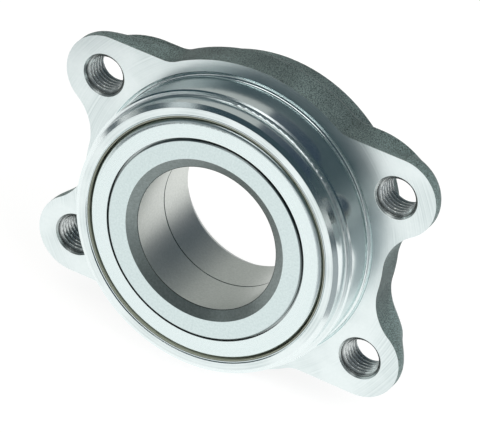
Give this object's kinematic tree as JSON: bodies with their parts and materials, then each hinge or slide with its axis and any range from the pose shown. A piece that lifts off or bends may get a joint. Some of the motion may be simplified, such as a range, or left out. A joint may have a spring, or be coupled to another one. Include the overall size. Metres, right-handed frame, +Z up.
{
  "type": "wheel hub bearing",
  "caption": "Flanged double-row angular contact wheel bearing: inner rings spin in a forged outer ring with threaded ears, between two cassette seals.",
  "frame": {"origin": "on the spin axis, in the machined inboard face of the mounting flange, midway between the threaded holes", "axes": "+Y along the spin axis, outboard towards the road wheel; +Z up, square to the long side of the bolt rectangle; +X completes the right-handed frame"},
  "size_m": [0.1164, 0.0393, 0.0942],
  "materials": {
    "bearing_steel_forging": "forged, with turned and ground seats",
    "bearing_steel_ring": "ground",
    "ball_steel": "polished",
    "cage_polyamide": "moulded, satin",
    "slinger_steel": "pressed, satin",
    "encoder_rubber": "matt, filled with magnetic powder",
    "cover_stainless": "pressed, satin",
    "seal_case_steel": "pressed, with a thin rubber skin",
    "seal_rubber": "matt"
  },
  "bodies": {
    "housing": {"outer_ring": "bearing_steel_forging", "inboard_seal_case": "seal_case_steel", "inboard_seal_lip": "seal_rubber", "outboard_seal_case": "seal_case_steel", "outboard_seal_lip": "seal_rubber"},
    "inner": {"inboard_inner_ring": "bearing_steel_ring", "outboard_inner_ring": "bearing_steel_ring", "inboard_slinger": "slinger_steel", "encoder_ring": "encoder_rubber", "encoder_cover": "cover_stainless", "outboard_slinger": "slinger_steel"},
    "inboard_cage": {"inboard_cage": "cage_polyamide"},
    "outboard_cage": {"outboard_cage": "cage_polyamide"},
    "inboard_ball_01": {"inboard_ball_01": "ball_steel"},
    "inboard_ball_02": {"inboard_ball_02": "ball_steel"},
    "inboard_ball_03": {"inboard_ball_03": "ball_steel"},
    "inboard_ball_04": {"inboard_ball_04": "ball_steel"},
    "inboard_ball_05": {"inboard_ball_05": "ball_steel"},
    "inboard_ball_06": {"inboard_ball_06": "ball_steel"},
    "inboard_ball_07": {"inboard_ball_07": "ball_steel"},
    "inboard_ball_08": {"inboard_ball_08": "ball_steel"},
    "inboard_ball_09": {"inboard_ball_09": "ball_steel"},
    "inboard_ball_10": {"inboard_ball_10": "ball_steel"},
    "inboard_ball_11": {"inboard_ball_11": "ball_steel"},
    "inboard_ball_12": {"inboard_ball_12": "ball_steel"},
    "inboard_ball_13": {"inboard_ball_13": "ball_steel"},
    "inboard_ball_14": {"inboard_ball_14": "ball_steel"},
    "inboard_ball_15": {"inboard_ball_15": "ball_steel"},
    "outboard_ball_01": {"outboard_ball_01": "ball_steel"},
    "outboard_ball_02": {"outboard_ball_02": "ball_steel"},
    "outboard_ball_03": {"outboard_ball_03": "ball_steel"},
    "outboard_ball_04": {"outboard_ball_04": "ball_steel"},
    "outboard_ball_05": {"outboard_ball_05": "ball_steel"},
    "outboard_ball_06": {"outboard_ball_06": "ball_steel"},
    "outboard_ball_07": {"outboard_ball_07": "ball_steel"},
    "outboard_ball_08": {"outboard_ball_08": "ball_steel"},
    "outboard_ball_09": {"outboard_ball_09": "ball_steel"},
    "outboard_ball_10": {"outboard_ball_10": "ball_steel"},
    "outboard_ball_11": {"outboard_ball_11": "ball_steel"},
    "outboard_ball_12": {"outboard_ball_12": "ball_steel"},
    "outboard_ball_13": {"outboard_ball_13": "ball_steel"},
    "outboard_ball_14": {"outboard_ball_14": "ball_steel"},
    "outboard_ball_15": {"outboard_ball_15": "ball_steel"}
  },
  "joints": [
    {"name": "inner_spin", "type": "hinge", "parent": "housing", "child": "inner", "pos_m": [0, 0, 0], "axis": [0, 1, 0], "continuous": true},
    {"name": "inboard_cage_orbit", "type": "hinge", "parent": "housing", "child": "inboard_cage", "pos_m": [0, 0, 0], "axis": [0, 1, 0], "continuous": true},
    {"name": "outboard_cage_orbit", "type": "hinge", "parent": "housing", "child": "outboard_cage", "pos_m": [0, 0, 0], "axis": [0, 1, 0], "continuous": true},
    {"name": "inboard_ball_01_spin", "type": "hinge", "parent": "inboard_cage", "child": "inboard_ball_01", "pos_m": [0.0332, -0.0072, 0], "axis": [-0.6428, 0.766, 0], "continuous": true},
    {"name": "inboard_ball_02_spin", "type": "hinge", "parent": "inboard_cage", "child": "inboard_ball_02", "pos_m": [0.03033, -0.0072, -0.0135], "axis": [-0.5872, 0.766, 0.2614], "continuous": true},
    {"name": "inboard_ball_03_spin", "type": "hinge", "parent": "inboard_cage", "child": "inboard_ball_03", "pos_m": [0.02222, -0.0072, -0.02467], "axis": [-0.4301, 0.766, 0.4777], "continuous": true},
    {"name": "inboard_ball_04_spin", "type": "hinge", "parent": "inboard_cage", "child": "inboard_ball_04", "pos_m": [0.01026, -0.0072, -0.03158], "axis": [-0.1986, 0.766, 0.6113], "continuous": true},
    {"name": "inboard_ball_05_spin", "type": "hinge", "parent": "inboard_cage", "child": "inboard_ball_05", "pos_m": [-0.00347, -0.0072, -0.03302], "axis": [0.0672, 0.766, 0.6393], "continuous": true},
    {"name": "inboard_ball_06_spin", "type": "hinge", "parent": "inboard_cage", "child": "inboard_ball_06", "pos_m": [-0.0166, -0.0072, -0.02875], "axis": [0.3214, 0.766, 0.5567], "continuous": true},
    {"name": "inboard_ball_07_spin", "type": "hinge", "parent": "inboard_cage", "child": "inboard_ball_07", "pos_m": [-0.02686, -0.0072, -0.01951], "axis": [0.52, 0.766, 0.3778], "continuous": true},
    {"name": "inboard_ball_08_spin", "type": "hinge", "parent": "inboard_cage", "child": "inboard_ball_08", "pos_m": [-0.03247, -0.0072, -0.0069], "axis": [0.6287, 0.766, 0.1336], "continuous": true},
    {"name": "inboard_ball_09_spin", "type": "hinge", "parent": "inboard_cage", "child": "inboard_ball_09", "pos_m": [-0.03247, -0.0072, 0.0069], "axis": [0.6287, 0.766, -0.1336], "continuous": true},
    {"name": "inboard_ball_10_spin", "type": "hinge", "parent": "inboard_cage", "child": "inboard_ball_10", "pos_m": [-0.02686, -0.0072, 0.01951], "axis": [0.52, 0.766, -0.3778], "continuous": true},
    {"name": "inboard_ball_11_spin", "type": "hinge", "parent": "inboard_cage", "child": "inboard_ball_11", "pos_m": [-0.0166, -0.0072, 0.02875], "axis": [0.3214, 0.766, -0.5567], "continuous": true},
    {"name": "inboard_ball_12_spin", "type": "hinge", "parent": "inboard_cage", "child": "inboard_ball_12", "pos_m": [-0.00347, -0.0072, 0.03302], "axis": [0.0672, 0.766, -0.6393], "continuous": true},
    {"name": "inboard_ball_13_spin", "type": "hinge", "parent": "inboard_cage", "child": "inboard_ball_13", "pos_m": [0.01026, -0.0072, 0.03158], "axis": [-0.1986, 0.766, -0.6113], "continuous": true},
    {"name": "inboard_ball_14_spin", "type": "hinge", "parent": "inboard_cage", "child": "inboard_ball_14", "pos_m": [0.02222, -0.0072, 0.02467], "axis": [-0.4301, 0.766, -0.4777], "continuous": true},
    {"name": "inboard_ball_15_spin", "type": "hinge", "parent": "inboard_cage", "child": "inboard_ball_15", "pos_m": [0.03033, -0.0072, 0.0135], "axis": [-0.5872, 0.766, -0.2614], "continuous": true},
    {"name": "outboard_ball_01_spin", "type": "hinge", "parent": "outboard_cage", "child": "outboard_ball_01", "pos_m": [0.0332, 0.0076, 0], "axis": [0.6428, 0.766, 0], "continuous": true},
    {"name": "outboard_ball_02_spin", "type": "hinge", "parent": "outboard_cage", "child": "outboard_ball_02", "pos_m": [0.03033, 0.0076, -0.0135], "axis": [0.5872, 0.766, -0.2614], "continuous": true},
    {"name": "outboard_ball_03_spin", "type": "hinge", "parent": "outboard_cage", "child": "outboard_ball_03", "pos_m": [0.02222, 0.0076, -0.02467], "axis": [0.4301, 0.766, -0.4777], "continuous": true},
    {"name": "outboard_ball_04_spin", "type": "hinge", "parent": "outboard_cage", "child": "outboard_ball_04", "pos_m": [0.01026, 0.0076, -0.03158], "axis": [0.1986, 0.766, -0.6113], "continuous": true},
    {"name": "outboard_ball_05_spin", "type": "hinge", "parent": "outboard_cage", "child": "outboard_ball_05", "pos_m": [-0.00347, 0.0076, -0.03302], "axis": [-0.0672, 0.766, -0.6393], "continuous": true},
    {"name": "outboard_ball_06_spin", "type": "hinge", "parent": "outboard_cage", "child": "outboard_ball_06", "pos_m": [-0.0166, 0.0076, -0.02875], "axis": [-0.3214, 0.766, -0.5567], "continuous": true},
    {"name": "outboard_ball_07_spin", "type": "hinge", "parent": "outboard_cage", "child": "outboard_ball_07", "pos_m": [-0.02686, 0.0076, -0.01951], "axis": [-0.52, 0.766, -0.3778], "continuous": true},
    {"name": "outboard_ball_08_spin", "type": "hinge", "parent": "outboard_cage", "child": "outboard_ball_08", "pos_m": [-0.03247, 0.0076, -0.0069], "axis": [-0.6287, 0.766, -0.1336], "continuous": true},
    {"name": "outboard_ball_09_spin", "type": "hinge", "parent": "outboard_cage", "child": "outboard_ball_09", "pos_m": [-0.03247, 0.0076, 0.0069], "axis": [-0.6287, 0.766, 0.1336], "continuous": true},
    {"name": "outboard_ball_10_spin", "type": "hinge", "parent": "outboard_cage", "child": "outboard_ball_10", "pos_m": [-0.02686, 0.0076, 0.01951], "axis": [-0.52, 0.766, 0.3778], "continuous": true},
    {"name": "outboard_ball_11_spin", "type": "hinge", "parent": "outboard_cage", "child": "outboard_ball_11", "pos_m": [-0.0166, 0.0076, 0.02875], "axis": [-0.3214, 0.766, 0.5567], "continuous": true},
    {"name": "outboard_ball_12_spin", "type": "hinge", "parent": "outboard_cage", "child": "outboard_ball_12", "pos_m": [-0.00347, 0.0076, 0.03302], "axis": [-0.0672, 0.766, 0.6393], "continuous": true},
    {"name": "outboard_ball_13_spin", "type": "hinge", "parent": "outboard_cage", "child": "outboard_ball_13", "pos_m": [0.01026, 0.0076, 0.03158], "axis": [0.1986, 0.766, 0.6113], "continuous": true},
    {"name": "outboard_ball_14_spin", "type": "hinge", "parent": "outboard_cage", "child": "outboard_ball_14", "pos_m": [0.02222, 0.0076, 0.02467], "axis": [0.4301, 0.766, 0.4777], "continuous": true},
    {"name": "outboard_ball_15_spin", "type": "hinge", "parent": "outboard_cage", "child": "outboard_ball_15", "pos_m": [0.03033, 0.0076, 0.0135], "axis": [0.5872, 0.766, 0.2614], "continuous": true}
  ],
  "couplings": [
    {"joint": "inboard_cage_orbit", "follows": "inner_spin", "ratio": 0.44048},
    {"joint": "outboard_cage_orbit", "follows": "inner_spin", "ratio": 0.44048},
    {"joint": "inboard_ball_01_spin", "follows": "inner_spin", "ratio": -3.1718},
    {"joint": "inboard_ball_02_spin", "follows": "inner_spin", "ratio": -3.1718},
    {"joint": "inboard_ball_03_spin", "follows": "inner_spin", "ratio": -3.1718},
    {"joint": "inboard_ball_04_spin", "follows": "inner_spin", "ratio": -3.1718},
    {"joint": "inboard_ball_05_spin", "follows": "inner_spin", "ratio": -3.1718},
    {"joint": "inboard_ball_06_spin", "follows": "inner_spin", "ratio": -3.1718},
    {"joint": "inboard_ball_07_spin", "follows": "inner_spin", "ratio": -3.1718},
    {"joint": "inboard_ball_08_spin", "follows": "inner_spin", "ratio": -3.1718},
    {"joint": "inboard_ball_09_spin", "follows": "inner_spin", "ratio": -3.1718},
    {"joint": "inboard_ball_10_spin", "follows": "inner_spin", "ratio": -3.1718},
    {"joint": "inboard_ball_11_spin", "follows": "inner_spin", "ratio": -3.1718},
    {"joint": "inboard_ball_12_spin", "follows": "inner_spin", "ratio": -3.1718},
    {"joint": "inboard_ball_13_spin", "follows": "inner_spin", "ratio": -3.1718},
    {"joint": "inboard_ball_14_spin", "follows": "inner_spin", "ratio": -3.1718},
    {"joint": "inboard_ball_15_spin", "follows": "inner_spin", "ratio": -3.1718},
    {"joint": "outboard_ball_01_spin", "follows": "inner_spin", "ratio": -3.1718},
    {"joint": "outboard_ball_02_spin", "follows": "inner_spin", "ratio": -3.1718},
    {"joint": "outboard_ball_03_spin", "follows": "inner_spin", "ratio": -3.1718},
    {"joint": "outboard_ball_04_spin", "follows": "inner_spin", "ratio": -3.1718},
    {"joint": "outboard_ball_05_spin", "follows": "inner_spin", "ratio": -3.1718},
    {"joint": "outboard_ball_06_spin", "follows": "inner_spin", "ratio": -3.1718},
    {"joint": "outboard_ball_07_spin", "follows": "inner_spin", "ratio": -3.1718},
    {"joint": "outboard_ball_08_spin", "follows": "inner_spin", "ratio": -3.1718},
    {"joint": "outboard_ball_09_spin", "follows": "inner_spin", "ratio": -3.1718},
    {"joint": "outboard_ball_10_spin", "follows": "inner_spin", "ratio": -3.1718},
    {"joint": "outboard_ball_11_spin", "follows": "inner_spin", "ratio": -3.1718},
    {"joint": "outboard_ball_12_spin", "follows": "inner_spin", "ratio": -3.1718},
    {"joint": "outboard_ball_13_spin", "follows": "inner_spin", "ratio": -3.1718},
    {"joint": "outboard_ball_14_spin", "follows": "inner_spin", "ratio": -3.1718},
    {"joint": "outboard_ball_15_spin", "follows": "inner_spin", "ratio": -3.1718}
  ]
}
